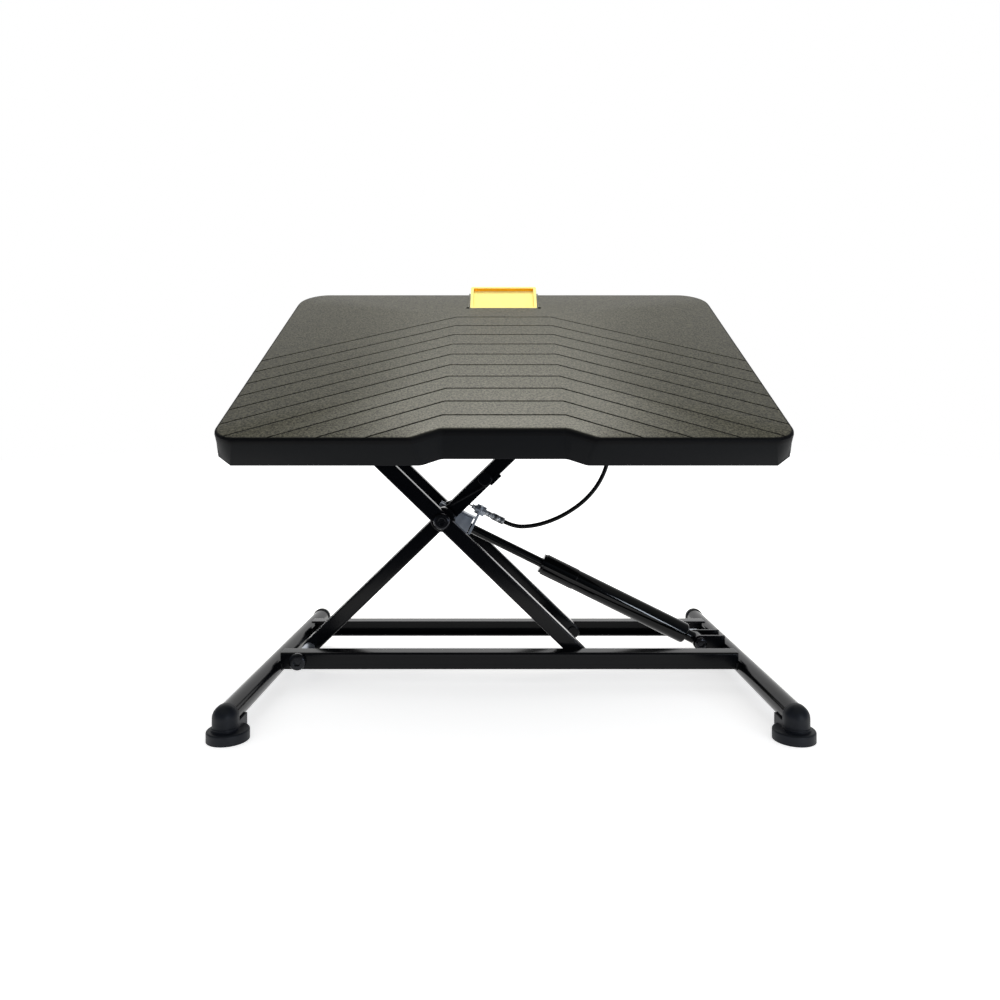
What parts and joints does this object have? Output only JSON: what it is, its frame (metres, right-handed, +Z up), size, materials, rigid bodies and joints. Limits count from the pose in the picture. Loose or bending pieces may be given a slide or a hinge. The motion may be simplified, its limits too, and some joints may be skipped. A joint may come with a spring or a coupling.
{
  "type": "height-adjustable footrest",
  "caption": "Under-desk footrest: a tilting tread on a scissor frame that a gas spring holds up, with a foot pedal and a cable that release the spring.",
  "frame": {"origin": "on the floor, in the middle of the rectangle that the four feet span", "axes": "+Z up, +X to the right of the person who uses it, +Y away from them"},
  "size_m": [0.494, 0.3692, 0.4228],
  "materials": {
    "frame_paint": "semi-gloss black powder coat",
    "black_bolts": "black oxide",
    "zinc": "bright zinc plate",
    "rod_black": "black nitrided steel, polished",
    "foot_rubber": "matte moulded",
    "tread_plastic": "fine grain",
    "roller_nylon": "satin",
    "pedal_plastic": "yellow, satin",
    "cable_sheath": "smooth black",
    "wire_steel": "stranded wire"
  },
  "bodies": {
    "base": {"side_tube_left": "frame_paint", "side_tube_right": "frame_paint", "foot_cap_front_left": "foot_rubber", "foot_cap_rear_left": "foot_rubber", "foot_cap_front_right": "foot_rubber", "foot_cap_rear_right": "foot_rubber", "base_beam_front": "frame_paint", "base_beam_rear": "frame_paint", "weld_beads": "frame_paint", "gas_spring_tabs": "frame_paint", "eye_bolt": "black_bolts", "base_lock_nuts": "zinc", "lower_pivot_bolt": "black_bolts", "lower_pivot_spacers": "zinc"},
    "inner_legs": {"inner_leg_front": "frame_paint", "inner_leg_rear": "frame_paint", "inner_leg_sleeve": "frame_paint", "crossing_bushes": "frame_paint", "crossing_bolts": "black_bolts", "gusset_plate": "frame_paint", "upper_roller_axles": "frame_paint"},
    "outer_legs": {"outer_leg_front": "frame_paint", "outer_leg_rear": "frame_paint", "outer_leg_cross_tube": "frame_paint", "lower_roller_axles": "frame_paint"},
    "lower_roller_pair": {"lower_rollers": "roller_nylon"},
    "upper_roller_pair": {"upper_rollers": "roller_nylon"},
    "top_frame": {"top_rail_front": "frame_paint", "top_rail_rear": "frame_paint", "upper_pivot_bolt": "black_bolts", "upper_pivot_nut": "zinc", "upper_pivot_spacers": "zinc", "hinge_ears": "frame_paint", "hinge_pins": "black_bolts", "friction_washers": "roller_nylon", "top_straps": "frame_paint", "cable_clip": "roller_nylon", "release_cable": "cable_sheath"},
    "platform": {"tread": "tread_plastic", "hinge_leaves": "zinc", "tread_screws": "black_bolts", "pedal_side_plate_left": "zinc", "pedal_side_plate_right": "zinc", "pedal_pin": "zinc", "crank_bracket": "zinc"},
    "foot_pedal": {"pedal": "pedal_plastic"},
    "crank": {"cable_crank": "zinc"},
    "gas_cylinder_body": {"gas_cylinder": "frame_paint", "gas_cylinder_end_sleeve": "frame_paint", "gas_spring_lower_eye": "frame_paint"},
    "gas_rod_body": {"gas_spring_rod": "rod_black", "release_head": "zinc", "cable_bracket": "zinc", "jam_nuts": "zinc", "cable_adjuster": "zinc", "cable_ferrule": "black_bolts"},
    "wire_at_head": {"inner_wire_lower": "wire_steel"},
    "wire_at_crank": {"inner_wire_upper": "wire_steel"},
    "lever": {"release_lever": "black_bolts"},
    "valve_pin": {"release_pin": "zinc"}
  },
  "joints": [
    {"name": "fold", "type": "hinge", "parent": "base", "child": "inner_legs", "pos_m": [-0.207, 0.03, 0.02475], "axis": [0, 1, 0], "range_deg": [0, 32], "deforming": ["release_cable"]},
    {"name": "crossing", "type": "hinge", "parent": "inner_legs", "child": "outer_legs", "pos_m": [-0.06745, 0.03, 0.15951], "axis": [0, 1, 0], "range_deg": [-64, 0]},
    {"name": "upper_pivot", "type": "hinge", "parent": "outer_legs", "child": "top_frame", "pos_m": [-0.207, 0.03, 0.29428], "axis": [0, 1, 0], "range_deg": [0, 32]},
    {"name": "lower_roller_spin", "type": "hinge", "parent": "outer_legs", "child": "lower_roller_pair", "pos_m": [0.0721, 0.03, 0.02475], "axis": [0, 1, 0], "continuous": true},
    {"name": "upper_roller_spin", "type": "hinge", "parent": "inner_legs", "child": "upper_roller_pair", "pos_m": [0.0721, 0.03, 0.29428], "axis": [0, 1, 0], "continuous": true},
    {"name": "gas_spring_swing", "type": "hinge", "parent": "base", "child": "gas_cylinder_body", "pos_m": [0.2015, 0.03, 0.027], "axis": [0, 1, 0], "range_deg": [-16.35, 0]},
    {"name": "gas_spring_stroke", "type": "slide", "parent": "gas_cylinder_body", "child": "gas_rod_body", "axis": [-0.897, 0, 0.442], "range_m": [-0.07779, 0]},
    {"name": "release_lever_turn", "type": "hinge", "parent": "gas_rod_body", "child": "lever", "pos_m": [-0.0726, 0.03, 0.15246], "axis": [0, 1, 0], "range_deg": [0, 6.4]},
    {"name": "release_pin_push", "type": "slide", "parent": "gas_rod_body", "child": "valve_pin", "axis": [0.897, 0, -0.442], "range_m": [0, 0.000959]},
    {"name": "tilt", "type": "hinge", "parent": "top_frame", "child": "platform", "pos_m": [-0.0055, -0.032, 0.30753], "axis": [1, 0, 0], "range_deg": [-29.1, 0]},
    {"name": "pedal_press", "type": "hinge", "parent": "platform", "child": "foot_pedal", "pos_m": [-0.0055, 0.1041, 0.38706], "axis": [1, 0, 0], "range_deg": [-15, 0], "stiffness_Nm_per_rad": 1, "springref_deg": 17.19},
    {"name": "wire_pull_at_crank", "type": "slide", "parent": "platform", "child": "wire_at_crank", "axis": [0, 0.8738, 0.4863], "range_m": [0, 0.00338]},
    {"name": "wire_pull_at_head", "type": "slide", "parent": "gas_rod_body", "child": "wire_at_head", "axis": [0.897, 0, -0.442], "range_m": [0, 0.00338]},
    {"name": "crank_turn", "type": "hinge", "parent": "platform", "child": "crank", "pos_m": [0.0025, 0.12238, 0.38178], "axis": [1, 0, 0], "range_deg": [-22.51, 0]}
  ],
  "couplings": [
    {"joint": "crossing", "follows": "fold", "ratio": -2},
    {"joint": "upper_pivot", "follows": "fold", "ratio": 1},
    {"joint": "gas_spring_swing", "follows": "fold", "ratio": -0.51104},
    {"joint": "gas_spring_stroke", "follows": "fold", "m_per_rad": -0.13928},
    {"joint": "crank_turn", "follows": "pedal_press", "ratio": 1.5},
    {"joint": "release_lever_turn", "follows": "pedal_press", "ratio": -0.42576},
    {"joint": "release_pin_push", "follows": "pedal_press", "m_per_rad": -0.003654},
    {"joint": "wire_pull_at_crank", "follows": "pedal_press", "m_per_rad": -0.012916},
    {"joint": "wire_pull_at_head", "follows": "pedal_press", "m_per_rad": -0.012916}
  ]
}
